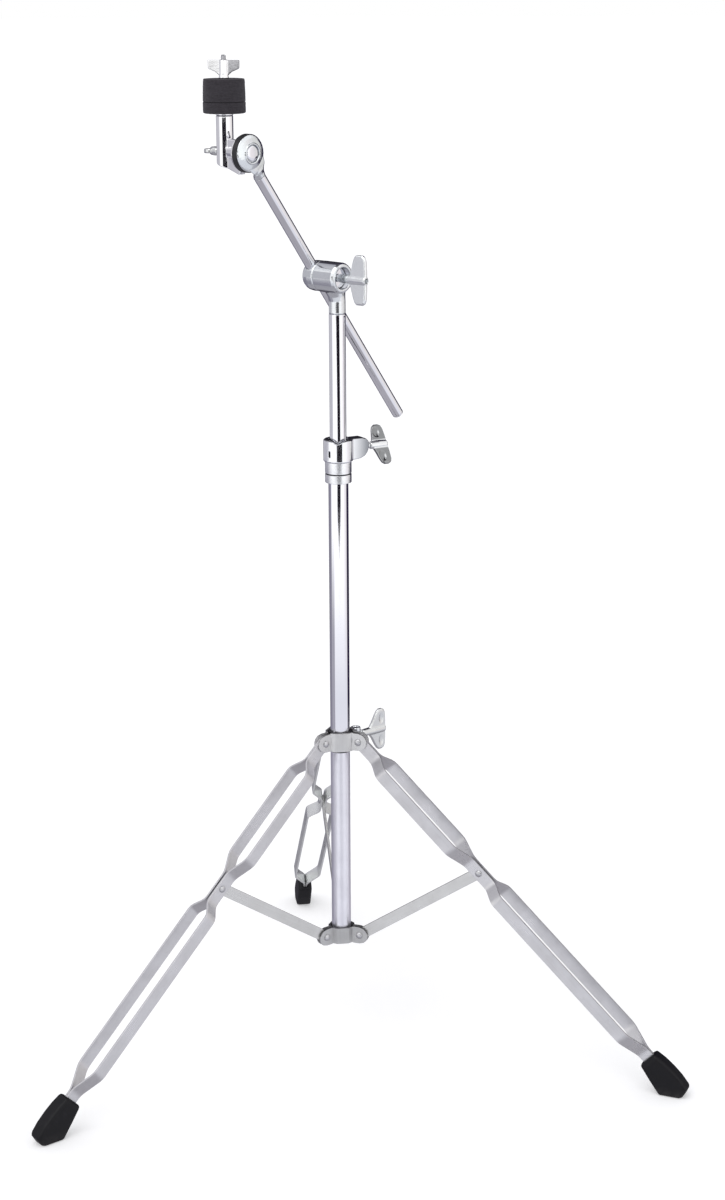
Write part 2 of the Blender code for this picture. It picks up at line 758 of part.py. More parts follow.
def build_tilter():
    """Domed disc with its neck on the rod, thick friction washer, bolt and small wing nut."""
    place = boom_frame(DISC_CENTRE)
    face = [
        (6.7, 3.3),
        (6.7, DISC_R - 0.4),
        (7.1, DISC_R),
        (7.8, DISC_R),
        (8.7, 20.4),
        (9.9, 17.8),
        (10.8, 15.0),
        (11.4, 12.8),
        (12.6, 12.0),
        (12.6, 10.9),
        (11.8, 10.2),
        (9.6, 10.0),
        (9.6, 3.3),
    ]
    slope = Matrix.Rotation(TILT, 4, "X") @ Matrix.Rotation(math.pi, 4, "X")
    steps = [
        (12.0, 8.6, 1.7, 15.0),
        (20.0, 8.3, 1.5, 12.6),
        (23.2, 7.9, 1.5, 11.3),
        (26.5, 4.8, 4.6, 9.6),
        (31.0, 1.8, 6.4, 8.1),
        (NECK_END, 0.0, 7.5, 7.7),
    ]
    neck = loft([ellipse((x, 0.0), a, b, z, 18) for z, x, a, b in steps])
    spigot = rod(5.7, NECK_END - 4.0, NECK_END + 15.0)
    add = [moved(neck, slope), moved(spigot, slope)]
    bore = rod(3.3, -9.0, 10.0, 14, "X")
    piece("tilter_disc", "chrome", turned(face, 32), place, add=add, cut=[bore], pivot=DISC_CENTRE)
    washer = [(-0.6, HOLE_R), (-0.6, 21.8), (0.2, 22.6), (5.6, 22.6), (6.4, 21.6), (6.4, HOLE_R)]
    piece("tilter_washer", "black", turned(washer), place, pivot=DISC_CENTRE)
    bolt = [
        (-61.0, 0.0),
        (-61.0, 2.4),
        (-60.4, STEM_R),
        (9.9, STEM_R),
        (9.9, 8.6),
        (11.6, 9.0),
        (12.6, 7.6),
        (13.0, 4.5),
        (13.1, 0.0),
    ]
    piece("tilter_bolt", "chrome", turned(bolt, 18), place, pivot=DISC_CENTRE)
    back = place @ Matrix.Rotation(math.pi, 4, "Z")
    wing_bolt("tilter_wing_nut", back, None, (46.1, 59.0), (51.0, 64.5), 9.5, 3.0, 90.0, DISC_CENTRE, HOLE_R)


def build_post():
    """Post with its web and flange, the stem, seat washer, sleeve, two felts and the top wing nut."""
    place = boom_frame(DISC_CENTRE)
    at = (POST_M, 0.0, 0.0)
    r, top = POST_R, POST_TOP
    post = lathe([(0.0, -34.0), (r, -34.0), (r, top - 0.8), (r - 0.8, top), (0.0, top)], 28)
    arm = [
        (-0.9, 0.0),
        (-0.9, 20.6),
        (-1.7, 21.4),
        (-3.6, 21.4),
        (-5.2, 20.0),
        (-7.4, 12.0),
        (-9.0, 9.0),
        (-26.0, 8.0),
        (-26.0, 0.0),
    ]
    side = [(-33.0, 15.0), (-4.2, 15.0), (-4.2, -19.0), (-14.0, -40.0), (-33.0, -40.0)]
    web = moved(prism(side, -5.0, 5.0), Matrix.Rotation(math.pi / 2, 4, "X"))
    slab = prism([(-60.0, -40.0), (60.0, -40.0), (60.0, 40.0), (-60.0, 40.0)], -60.0, 0.0)
    slab = moved(slab, Matrix.Translation((POST_M, 0.0, -16.0)) @ Matrix.Rotation(0.33, 4, "Y"))
    cuts = [slab, rod(HOLE_R, -60.0, 4.0, 14, "X"), rod(HOLE_R, 22.0, 60.0, 14, "Z", at)]
    body = moved(post, Matrix.Translation(at))
    piece("tilter_post", "chrome", body, place, add=[web, turned(arm)], cut=cuts, pivot=DISC_CENTRE)
    top = place @ Matrix.Translation(at)
    stem = [(0.0, 24.0), (STEM_R, 24.0), (STEM_R, STEM_TIP - 0.8), (2.2, STEM_TIP), (0.0, STEM_TIP)]
    piece("stem", "chrome", lathe(stem, 16), top, pivot=DISC_CENTRE)
    seat = [(HOLE_R, 42.8), (10.4, 42.8), (10.4, 44.4), (HOLE_R, 44.4)]
    piece("seat_washer", "chrome", lathe(seat, 18), top, pivot=DISC_CENTRE)
    sleeve = [(HOLE_R, 44.7), (5.5, 44.7), (5.5, 82.6), (5.1, 83.0), (HOLE_R, 83.0)]
    piece("cymbal_sleeve", "nylon", lathe(sleeve, 16), top, pivot=DISC_CENTRE)
    felt("lower_felt", top, 44.7, FELT_SPLIT - 0.2, 3.0, 1.2)
    felt("upper_felt", top, FELT_SPLIT + 0.2, FELT_TOP, 1.2, 1.4)
    build_top_nut(top)


def felt(name, place, low, high, round_low, round_high):
    """Thick felt ring with soft edges."""
    r, a, b = FELT_R, round_low, round_high
    shape = [
        (5.8, low),
        (r - a, low),
        (r - a * 0.3, low + a * 0.3),
        (r, low + a),
        (r, high - b),
        (r - b * 0.3, high - b * 0.3),
        (r - b, high),
        (5.8, high),
    ]
    return piece(name, "felt", lathe(shape, 28), place, pivot=DISC_CENTRE)


def build_top_nut(place):
    """Wing nut with broad flat-topped wings."""
    low, high = FELT_TOP + GAP, 106.4
    hub = [(0.0, low), (5.6, low), (6.0, low + 0.5), (5.2, low + 5.0)]
    hub += [(4.9, high - 0.6), (4.3, high), (0.0, high)]
    side = [
        (18.6, high - 0.4),
        (19.0, high - 1.2),
        (18.8, 97.0),
        (18.0, 95.8),
        (10.0, 92.4),
        (6.0, 89.0),
        (4.0, 86.4),
    ]
    outline = side + [(-x, y) for x, y in reversed(side)]
    rings = []
    for z, size in ((-1.9, 0.97), (-1.2, 1.0), (1.2, 1.0), (1.9, 0.97)):
        rings.append([(x * size, 96.0 + (y - 96.0) * size, z) for x, y in outline])
    pair = moved(loft(rings), Matrix.Rotation(math.pi / 2, 4, "X"))
    pair = moved(pair, Matrix.Rotation(math.radians(34.0), 4, "Z"))
    bore = rod(HOLE_R, low - 5.0, high + 5.0, 14)
    piece("top_wing_nut", "cast", lathe(hub, 16), place, add=[pair], cut=[bore], pivot=DISC_CENTRE)


# ---------------------------------------------------------------- assembly


def main():
    for obj in list(bpy.data.objects):
        bpy.data.objects.remove(obj, do_unlink=True)
    build_base()
    build_bracket()
    build_collar()
    for index, azimuth in enumerate(LEG_AZIMUTHS):
        build_leg(index, azimuth)
    build_upper_tube()
    build_boom_body()
    build_boom_head()
    build_rod()
    build_tilter()
    build_post()


main()
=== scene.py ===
"""Cymbal boom stand: finishes, cast and threaded detail, felts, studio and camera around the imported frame."""

import json
import math
import random

import bmesh
import bpy
from mathutils import Matrix, Vector, noise


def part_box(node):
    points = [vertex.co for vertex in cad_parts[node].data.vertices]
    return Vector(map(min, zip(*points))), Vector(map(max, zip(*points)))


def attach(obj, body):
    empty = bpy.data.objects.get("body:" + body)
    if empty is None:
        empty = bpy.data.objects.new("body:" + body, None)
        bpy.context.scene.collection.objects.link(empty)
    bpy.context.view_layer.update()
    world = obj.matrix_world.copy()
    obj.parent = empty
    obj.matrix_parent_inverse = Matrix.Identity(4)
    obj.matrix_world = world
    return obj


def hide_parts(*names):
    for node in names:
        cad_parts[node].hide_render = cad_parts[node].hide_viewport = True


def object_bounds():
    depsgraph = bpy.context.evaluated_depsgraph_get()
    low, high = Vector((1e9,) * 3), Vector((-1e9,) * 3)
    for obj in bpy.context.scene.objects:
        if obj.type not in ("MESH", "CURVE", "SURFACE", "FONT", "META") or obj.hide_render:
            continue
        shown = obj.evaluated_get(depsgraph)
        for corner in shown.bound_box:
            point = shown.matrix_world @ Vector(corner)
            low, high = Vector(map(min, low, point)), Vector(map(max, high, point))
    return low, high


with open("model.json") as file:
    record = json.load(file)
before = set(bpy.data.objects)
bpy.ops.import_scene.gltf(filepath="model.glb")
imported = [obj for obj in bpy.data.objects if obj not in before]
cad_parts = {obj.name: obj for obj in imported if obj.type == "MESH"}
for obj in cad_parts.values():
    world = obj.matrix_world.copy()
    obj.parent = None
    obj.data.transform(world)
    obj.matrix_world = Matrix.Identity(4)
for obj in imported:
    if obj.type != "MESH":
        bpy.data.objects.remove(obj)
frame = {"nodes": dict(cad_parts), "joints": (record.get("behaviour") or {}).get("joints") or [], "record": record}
CAD_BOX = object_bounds()

MM = 0.001
WELD = 2e-6
UP = Vector((0.0, 0.0, 1.0))
RIGHT = Vector((1.0, 0.0, 0.0))
FLOOR_Z = CAD_BOX[0][2]
NODES = frame["nodes"]
BODY = {n: body for body, members in frame["record"]["behaviour"]["bodies"].items() for n in members}
JOINTS = {j["name"]: j for j in frame["joints"]}


def centre(node):
    low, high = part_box(node)
    return (low + high) / 2


def joint_frame(name):
    """Point and unit axis of a hinge or slide, at rest."""
    j = JOINTS[name]
    return Vector(j.get("pos_m", (0.0, 0.0, 0.0))), Vector(j["axis"]).normalized()


TUBE = Vector((centre("base_tube").x, centre("base_tube").y, 0.0))
CLAMP_POINT, BOOM_N = joint_frame("boom_tilt")
DISC_POINT, _ = joint_frame("tilter_tilt")
ROD_POINT, ROD_UP = joint_frame("boom_spin")
STEM_POINT, _ = joint_frame("top_nut_turn")
BOOM_H = UP.cross(BOOM_N).normalized()
REAR_LEG = max(range(3), key=lambda i: centre(f"leg_{i}_foot").y)


# ---------------------------------------------------------------- materials


# Painted shade that the faces of castings which look up blend to.
UPWARD_FACE_SHADE = (0.045, 0.045, 0.05)
# Painted shade that the upper faces of strip steel blend to.
UPPER_FACE_SHADE = (0.06, 0.058, 0.065)


class Tree:
    """Short-hand for building a node tree."""

    def __init__(self, tree):
        self.tree = tree

    def add(self, kind, inputs=None, **settings):
        node = self.tree.nodes.new(kind)
        for key, value in settings.items():
            setattr(node, key, value)
        for key, value in (inputs or {}).items():
            self.put(node.inputs[key], value)
        return node

    def put(self, socket, value):
        if isinstance(value, bpy.types.NodeSocket):
            self.tree.links.new(value, socket)
        else:
            socket.default_value = value

    def math(self, operation, a, b=0.0):
        return self.add("ShaderNodeMath", {0: a, 1: b}, operation=operation).outputs[0]

    def mix(self, factor, a, b):
        node = self.add("ShaderNodeMix", data_type="RGBA")
        for key, value in (("Factor", factor), ("A", a), ("B", b)):
            self.put(node.inputs[key], (*value, 1.0) if isinstance(value, tuple) else value)
        return node.outputs["Result"]


class Nodes(Tree):
    """One material's node tree, measured from the object's own position."""

    def __init__(self, name):
        self.material = bpy.data.materials.new(name)
        self.material.use_nodes = True
        super().__init__(self.material.node_tree)
        self.shader = self.tree.nodes["Principled BSDF"]
        self.point = self.add("ShaderNodeTexCoord").outputs["Object"]

    def dot(self, axis):
        inputs = {0: self.point, 1: tuple(axis)}
        return self.add("ShaderNodeVectorMath", inputs, operation="DOT_PRODUCT").outputs["Value"]

    def along(self, origin, axis):
        """Distance from a point along an axis, in millimetres."""
        return self.math("MULTIPLY", self.math("SUBTRACT", self.dot(axis), origin.dot(axis)), 1.0 / MM)

    def upward(self):
        """How far the surface faces up: 1 for a level top, 0 for a wall."""
        normal = self.add("ShaderNodeNewGeometry").outputs["Normal"]
        return self.add("ShaderNodeSeparateXYZ", {0: normal}).outputs[2]

    def oriented(self, x, y, z, scales):
        """Object position measured along three axes, each with its own scale."""
        parts = [self.math("MULTIPLY", self.dot(a), s) for a, s in zip((x, y, z), scales)]
        return self.add("ShaderNodeCombineXYZ", dict(enumerate(parts))).outputs[0]

    def noise(self, scale, detail=3.0, rough=0.5, vector=None):
        inputs = {"Vector": vector or self.point, "Scale": scale, "Detail": detail, "Roughness": rough}
        return self.add("ShaderNodeTexNoise", inputs).outputs["Fac"]

    def span(self, value, low, high, a=0.35, b=0.65):
        """A noise value between a and b, spread from low to high."""
        inputs = {"Value": value, "From Min": a, "From Max": b, "To Min": low, "To Max": high}
        return self.add("ShaderNodeMapRange", inputs).outputs[0]

    def bump(self, height, strength, distance):
        inputs = {"Height": height, "Strength": strength, "Distance": distance}
        return self.add("ShaderNodeBump", inputs).outputs["Normal"]

    def finish(self, **inputs):
        for key, value in inputs.items():
            self.put(self.shader.inputs[key.replace("_", " ")], value)
        return self.material


def chrome(name, colour=(0.83, 0.83, 0.87), rough=0.028, along=UP, smudge=0.035):
    """Polished plate: faint haze, handling marks and hair-fine draw lines."""
    n = Nodes(name)
    side = along.orthogonal().normalized()
    lines = n.noise(1.0, 2.0, 0.5, n.oriented(along, side, along.cross(side), (14.0, 1900.0, 1900.0)))
    marks = n.noise(38.0, 5.0, 0.62)
    haze = n.noise(9.0, 2.0, 0.5)
    roughness = n.math("ADD", n.span(marks, rough, rough + smudge), n.span(haze, 0.0, smudge * 0.5))
    dull = tuple(c * 0.93 for c in colour)
    tone = n.mix(n.span(haze, 0.0, 1.0), colour, dull)
    return n.finish(
        Base_Color=n.mix(n.span(marks, 0.0, 0.5, 0.5, 0.75), tone, tuple(c * 0.88 for c in colour)),
        Metallic=1.0,
        Roughness=n.math("ADD", roughness, n.span(lines, 0.0, 0.02)),
        Normal=n.bump(lines, 0.05, 0.00006),
    )


def worn_tube(name, dull_below):
    """Tube plate: bright above the collar, brushed dull lavender where the collar slides and below."""
    n = Nodes(name)
    lines = n.noise(1.0, 2.0, 0.5, n.oriented(UP, BOOM_N, BOOM_H, (14.0, 1900.0, 1900.0)))
    marks = n.noise(38.0, 5.0, 0.62)
    haze = n.noise(9.0, 2.0, 0.5)
    level = n.math("ADD", n.dot(UP), n.span(haze, -0.006, 0.006))
    blur = 0.012
    dull = n.span(level, 0.0, 1.0, dull_below + blur, dull_below - blur)
    tone = n.mix(n.span(haze, 0.0, 1.0), (0.84, 0.84, 0.88), (0.79, 0.79, 0.84))
    tone = n.mix(dull, tone, n.mix(n.span(marks, 0.0, 1.0), (0.86, 0.855, 0.92), (0.80, 0.795, 0.86)))
    shine = n.math("ADD", n.span(marks, 0.028, 0.06), n.span(lines, 0.0, 0.012))
    return n.finish(
        Base_Color=tone,
        Metallic=1.0,
        Roughness=n.math("ADD", shine, n.math("MULTIPLY", dull, 0.31)),
        Normal=n.bump(lines, 0.07, 0.00008),
    )


def satin(name, along, colour=(0.645, 0.64, 0.66), rough=0.30, top_shade_amount=0.0):
    """Plated strip steel: rolled grain along its length, cloudy plate, rub marks, and painted shade on the faces
    that look up.
    """
    n = Nodes(name)
    side = along.orthogonal().normalized()
    grain = n.noise(1.0, 4.0, 0.6, n.oriented(along, side, along.cross(side), (22.0, 900.0, 900.0)))
    cloud = n.noise(26.0, 4.0, 0.6)
    rubs = n.noise(120.0, 3.0, 0.7)
    worn = n.span(rubs, 0.0, 1.0, 0.60, 0.74)
    tone = n.mix(n.span(cloud, 0.0, 1.0), colour, tuple(c * 0.90 for c in colour))
    tone = n.mix(n.span(grain, 0.0, 0.35), tone, tuple(min(1.0, c * 1.12) for c in colour))
    tone = n.mix(n.math("MULTIPLY", worn, 0.30), tone, tuple(c * 0.72 for c in colour))
    # Painted shade: the faces that look up are blended towards near-black, for the dark they reflect.
    top_shade = n.math("MULTIPLY", n.span(n.upward(), 0.0, 1.0, 0.12, 0.36), top_shade_amount)
    tone = n.mix(top_shade, tone, UPPER_FACE_SHADE)
    roughness = n.math("ADD", n.span(cloud, rough - 0.05, rough + 0.07), n.span(grain, 0.0, 0.06))
    return n.finish(
        Base_Color=tone,
        Metallic=0.8,
        Roughness=roughness,
        Normal=n.bump(grain, 0.10, 0.00012),
        Anisotropic=0.35,
    )


def cast(name, colour=(0.74, 0.74, 0.77), rough=0.13, shade=None, outline=None, blades=None, top=None):
    """Plated casting: slight orange peel, pits, and lighter sharp edges, or painted dark outlines in a given
    colour.

    shade is (origin, axis, start, stop, colour) and blends to its colour along the axis, in millimetres, as
    painted shade.
    blades is the same, but works on both sides of the origin. top is (start, stop, amount) and darkens
    the faces that look up, also as painted shade.
    """
    n = Nodes(name)
    peel = n.noise(190.0, 2.0, 0.5)
    pits = n.noise(520.0, 2.0, 0.6)
    cloud = n.noise(30.0, 3.0, 0.55)
    # Sharp edges come out lighter; with a colour given, they get painted dark outlines instead, for the dark they
    # reflect.
    sharp_from, edge_strength, edge_colour = 0.50, 0.5, tuple(min(1.0, c * 1.15) for c in colour)
    if outline:
        sharp_from, edge_strength, edge_colour = 0.545, 0.9, outline
    edge = n.span(n.add("ShaderNodeNewGeometry").outputs["Pointiness"], 0.0, edge_strength, sharp_from, 0.62)
    tone = n.mix(n.span(cloud, 0.0, 1.0), colour, tuple(c * 0.94 for c in colour))
    tone = n.mix(n.span(pits, 0.0, 0.3, 0.64, 0.80), tone, tuple(c * 0.62 for c in colour))
    # Painted shade: the colour blends darker along the axis.
    if shade:
        origin, axis, start, stop, shade_colour = shade
        tone = n.mix(n.span(n.along(origin, axis), 0.0, 1.0, start, stop), tone, shade_colour)
    # Painted shade: both sides of the origin blend darker, as on wing blades.
    if blades:
        origin, axis, start, stop, shade_colour = blades
        either_side = n.math("ABSOLUTE", n.along(origin, axis))
        tone = n.mix(n.span(either_side, 0.0, 1.0, start, stop), tone, shade_colour)
    tone = n.mix(edge, tone, edge_colour)
    # Painted shade: the faces that look up blend towards near-black.
    if top:
        start, stop, amount = top
        tone = n.mix(n.span(n.upward(), 0.0, amount, start, stop), tone, UPWARD_FACE_SHADE)
    height = n.math("ADD", n.math("MULTIPLY", peel, 0.7), n.math("MULTIPLY", pits, 0.3))
    return n.finish(
        Base_Color=tone,
        Metallic=1.0,
        Roughness=n.span(cloud, rough, rough + 0.05),
        Normal=n.bump(height, 0.16, 0.00018),
    )


def moulded(name, colour=(0.018, 0.017, 0.020), rough=0.46):
    """Black moulded plastic with a fine sparked skin."""
    n = Nodes(name)
    skin = n.noise(1500.0, 2.0, 0.6)
    cloud = n.noise(45.0, 3.0, 0.6)
    return n.finish(
        Base_Color=n.mix(n.span(cloud, 0.0, 1.0), colour, tuple(c * 1.7 for c in colour)),
        Roughness=n.span(cloud, rough - 0.05, rough + 0.1),
        Normal=n.bump(skin, 0.25, 0.0001),
        Specular_IOR_Level=0.45,
    )


def rubber(name):
    """Rubber boot: matt skin, scuffs, and floor dust towards the sole."""
    n = Nodes(name)
    skin = n.noise(900.0, 3.0, 0.65)
    scuff = n.span(n.noise(70.0, 5.0, 0.7), 0.0, 1.0, 0.55, 0.72)
    height = n.dot(UP)
    dusty = 0.014
    low = n.span(height, 1.0, 0.0, FLOOR_Z, FLOOR_Z + dusty)
    dust = n.math("MULTIPLY", low, n.span(n.noise(160.0, 4.0, 0.6), 0.1, 1.0))
    tone = n.mix(n.math("MULTIPLY", scuff, 0.5), (0.0035, 0.0034, 0.0052), (0.011, 0.0105, 0.014))
    tone = n.mix(n.math("MULTIPLY", dust, 0.22), tone, (0.11, 0.105, 0.10))
    return n.finish(
        Base_Color=tone,
        Roughness=n.math("ADD", n.span(skin, 0.40, 0.54), n.math("MULTIPLY", dust, 0.25)),
        Normal=n.bump(n.math("ADD", skin, n.math("MULTIPLY", scuff, -0.4)), 0.22, 0.00018),
        Specular_IOR_Level=0.22,
    )


def pressed_felt(name, colour=(0.032, 0.029, 0.034)):
    """Pressed wool: matted fibres in layers, lighter lint and a soft sheen."""
    n = Nodes(name)
    mat = n.noise(1.0, 6.0, 0.72, n.oriented(BOOM_N, BOOM_H, UP, (330.0, 330.0, 900.0)))
    tangle = n.noise(620.0, 5.0, 0.75)
    lint = n.span(n.noise(1500.0, 3.0, 0.7), 0.0, 1.0, 0.60, 0.74)
    layer = n.noise(1.0, 3.0, 0.5, n.oriented(BOOM_N, BOOM_H, UP, (40.0, 40.0, 420.0)))
    tone = n.mix(n.span(mat, 0.0, 1.0), tuple(c * 0.72 for c in colour), tuple(c * 1.35 for c in colour))
    tone = n.mix(n.span(layer, 0.0, 0.35), tone, tuple(c * 1.6 for c in colour))
    tone = n.mix(n.math("MULTIPLY", lint, 0.35), tone, tuple(c * 3.2 for c in colour))
    height = n.math("ADD", n.math("MULTIPLY", mat, 0.6), n.math("MULTIPLY", tangle, 0.5))
    return n.finish(
        Base_Color=tone,
        Roughness=0.97,
        Normal=n.bump(height, 0.75, 0.0006),
        Specular_IOR_Level=0.15,
        Sheen_Weight=0.12,
        Sheen_Roughness=0.6,
        Sheen_Tint=(0.55, 0.55, 0.60, 1.0),
    )


# ---------------------------------------------------------------- pieces


def paint(obj, material):
    obj.data.materials.clear()
    obj.data.materials.append(material)
    return obj


def from_bmesh(name, bm, material, angle=35.0, even=True):
    """New object at the origin from a bmesh in metres."""
    mesh = bpy.data.meshes.new(name)
    bm.to_mesh(mesh)
    bm.free()
    obj = bpy.data.objects.new(name, mesh)
    bpy.context.scene.collection.objects.link(obj)
    paint(obj, material)
    mesh.shade_smooth()
    mesh.set_sharp_from_angle(angle=math.radians(angle))
    if even:
        shade = obj.modifiers.new("normals", "WEIGHTED_NORMAL")
        shade.keep_sharp = True
    return obj


def bake_modifiers(obj):
    bpy.context.view_layer.update()
    graph = bpy.context.evaluated_depsgraph_get()
    mesh = bpy.data.meshes.new_from_object(obj.evaluated_get(graph))
    obj.modifiers.clear()
    obj.data = mesh
    return obj


def solid_of(node):
    """Welded copy of a CAD node's mesh."""
    bm = bmesh.new()
    bm.from_mesh(NODES[node].data)
    bmesh.ops.remove_doubles(bm, verts=bm.verts, dist=WELD)
    bmesh.ops.recalc_face_normals(bm, faces=bm.faces)
    return bm


def stand_for(obj, node):
    """obj rides where the CAD node rides and is shown in its place."""
    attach(obj, BODY[node])
    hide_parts(node)
    return obj


def broken_edges(node, material, width=0.28, segments=2):
    """A CAD node kept as it is, with its edges softened and its material assigned."""
    obj = NODES[node]
    weld = obj.modifiers.new("weld", "WELD")
    weld.merge_threshold = WELD
    bevel = obj.modifiers.new("bevel", "BEVEL")
    bevel.width = width * MM
    bevel.segments = segments
    bevel.limit_method = "ANGLE"
    bevel.angle_limit = math.radians(32.0)
    bevel.use_clamp_overlap = True
    shade = obj.modifiers.new("normals", "WEIGHTED_NORMAL")
    shade.keep_sharp = False
    shade.weight = 60
    return paint(obj, material)


def recast(node, material, voxel=0.45, passes=8, cuts=()):
    """The node's solid remade as a casting: fine even skin with its edges and junctions rounded."""
    obj = from_bmesh(node + "_cast", solid_of(node), material, 35.0, False)
    for tool in cuts:
        mod = obj.modifiers.new("cut", "BOOLEAN")
        mod.operation = "DIFFERENCE"
        mod.solver = "EXACT"
        mod.object = tool
    remesh = obj.modifiers.new("skin", "REMESH")
    remesh.mode = "VOXEL"
    remesh.voxel_size = voxel * MM
    remesh.use_smooth_shade = True
    smooth = obj.modifiers.new("round", "SMOOTH")
    smooth.factor = 0.5
    smooth.iterations = passes
    bake_modifiers(obj)
    for tool in cuts:
        bpy.data.objects.remove(tool, do_unlink=True)
    obj.data.shade_smooth()
    paint(obj, material)
    return stand_for(obj, node)


def turned(profile, origin, axis, segments=96):
    """Solid of revolution from (radius, height) in millimetres, closed as a ring or at the poles."""
    axis = axis.normalized()
    x = axis.orthogonal().normalized()
    y = axis.cross(x)
    bm = bmesh.new()
    rings = []
    for r, h in profile:
        base = origin + axis * h * MM
        if r == 0.0:
            rings.append([bm.verts.new(base)])
            continue
        ring = []
        for k in range(segments):
            t = 2 * math.pi * k / segments
            ring.append(bm.verts.new(base + (x * math.cos(t) + y * math.sin(t)) * r * MM))
        rings.append(ring)
    pairs = list(zip(rings, rings[1:]))
    if len(rings[0]) > 1 and len(rings[-1]) > 1:
        pairs.append((rings[-1], rings[0]))
    for low, high in pairs:
        for k in range(segments):
            j = (k + 1) % segments
            if len(low) == 1:
                bm.faces.new((low[0], high[j], high[k]))
            elif len(high) == 1:
                bm.faces.new((low[k], low[j], high[0]))
            else:
                bm.faces.new((low[k], low[j], high[j], high[k]))
    bmesh.ops.recalc_face_normals(bm, faces=bm.faces)
    return bm


def arc(cx, cy, radius, start, stop, steps=5):
    """Points on a circular arc, angles in degrees."""
    turns = (math.radians(start + (stop - start) * k / steps) for k in range(steps + 1))
    return [(cx + radius * math.cos(t), cy + radius * math.sin(t)) for t in turns]


def heights(node, origin, axis):
    """A CAD node's lowest and highest reach along an axis, and its largest radius, in millimetres."""
    points = [v.co - origin for v in NODES[node].data.vertices]
    along = [p.dot(axis) for p in points]
    out = [(p - axis * h).length for p, h in zip(points, along)]
    return min(along) / MM, max(along) / MM, max(out) / MM


def tube_skin(node, origin, axis, bore, material, lip=0.6, inner_lip=0.3):
    """Drawn tube with rolled lips, as fine as its reflections need."""
    low, high, r = heights(node, origin, axis)
    outer = arc(r - lip, low + lip, lip, -90.0, 0.0) + arc(r - lip, high - lip, lip, 0.0, 90.0)
    inner = arc(bore + inner_lip, high - inner_lip, inner_lip, 90.0, 180.0, 3)
    inner += arc(bore + inner_lip, low + inner_lip, inner_lip, 180.0, 270.0, 3)
    obj = from_bmesh(node + "_drawn", turned(outer + inner, origin, axis, 112), material)
    return stand_for(obj, node)


def threaded(name, node, origin, axis, plain, high, radius, pitch, material, depth=0.5, steps=28):
    """Shaft with chamfered ends and a real helical thread from plain to high, in millimetres."""
    chamfer = 0.75
    thread_length = high - 1.0 - plain
    rows_per_turn = 8
    x = axis.orthogonal().normalized()
    y = axis.cross(x)
    low = heights(node, origin, axis)[0]
    count = max(2, round(thread_length / pitch * rows_per_turn))
    thread = [plain + thread_length * (k + 1) / count for k in range(count)]
    bm = bmesh.new()
    rings = []
    for h in (low, low + 0.5, plain, *thread, high):
        ring = []
        for k in range(steps):
            t = k / steps
            r = radius
            if plain < h < high:
                phase = (h / pitch - t) % 1.0
                r -= depth * abs(2.0 * phase - 1.0) * min(1.0, (h - plain) / pitch)
            if h in (low, high):
                r = radius - chamfer
            a = 2 * math.pi * t
            ring.append(bm.verts.new(origin + (axis * h + (x * math.cos(a) + y * math.sin(a)) * r) * MM))
        rings.append(ring)
    for a, b in zip(rings, rings[1:]):
        for k in range(steps):
            j = (k + 1) % steps
            bm.faces.new((a[k], a[j], b[j], b[k]))
    bm.faces.new(tuple(reversed(rings[0])))
    bm.faces.new(tuple(rings[-1]))
    bmesh.ops.recalc_face_normals(bm, faces=bm.faces)
    return stand_for(from_bmesh(name, bm, material, 60.0), node)


def pad(centre_point, axes, sizes):
    """Smooth lens-shaped cutter for a shallow cast recess."""
    bm = bmesh.new()
    bmesh.ops.create_icosphere(bm, subdivisions=3, radius=1.0)
    turn = Matrix([axes[0], axes[1], axes[2]]).transposed().to_4x4()
    grow = Matrix.Diagonal((*[s * MM for s in sizes], 1.0))
    bm.transform(Matrix.Translation(centre_point) @ turn @ grow)
    mesh = bpy.data.meshes.new("recess")
    bm.to_mesh(mesh)
    bm.free()
    obj = bpy.data.objects.new("recess", mesh)
    bpy.context.scene.collection.objects.link(obj)
    obj.hide_render = True
    obj.display_type = "WIRE"
    return obj


def wing_recesses(origin, axis, span, along, out, sizes, half=2.6):
    """Four dished recesses, one on each face of each wing."""
    flat = axis.cross(span).normalized()
    cuts = []
    for sign in (1.0, -1.0):
        for face in (1.0, -1.0):
            at = origin + (axis * along + span * sign * out + flat * face * (half + sizes[2] * 0.35)) * MM
            cuts.append(pad(at, (axis, span, flat), sizes))
    return cuts


def washer_ring(node, origin, axis, material, bore, edge=0.35):
    """Turned ring with softened corners, read from its CAD node."""
    low, high, r = heights(node, origin, axis)
    shape = arc(r - edge, low + edge, edge, -90.0, 0.0, 4) + arc(r - edge, high - edge, edge, 0.0, 90.0, 4)
    shape += [(bore, high), (bore, low)]
    return stand_for(from_bmesh(node + "_turned", turned(shape, origin, axis, 80), material), node)


FELT_GAP = 0.05
FELT_ROOM = 0.35
FELT_WAVES = ((0.11, 0.32), (0.45, 0.16), (1.6, 0.10))


def bulge(height, t):
    """Barrel shape from 0 at t = 0 over height at the middle to 0 at t = 1."""
    return height * 4.0 * t * (1.0 - t)


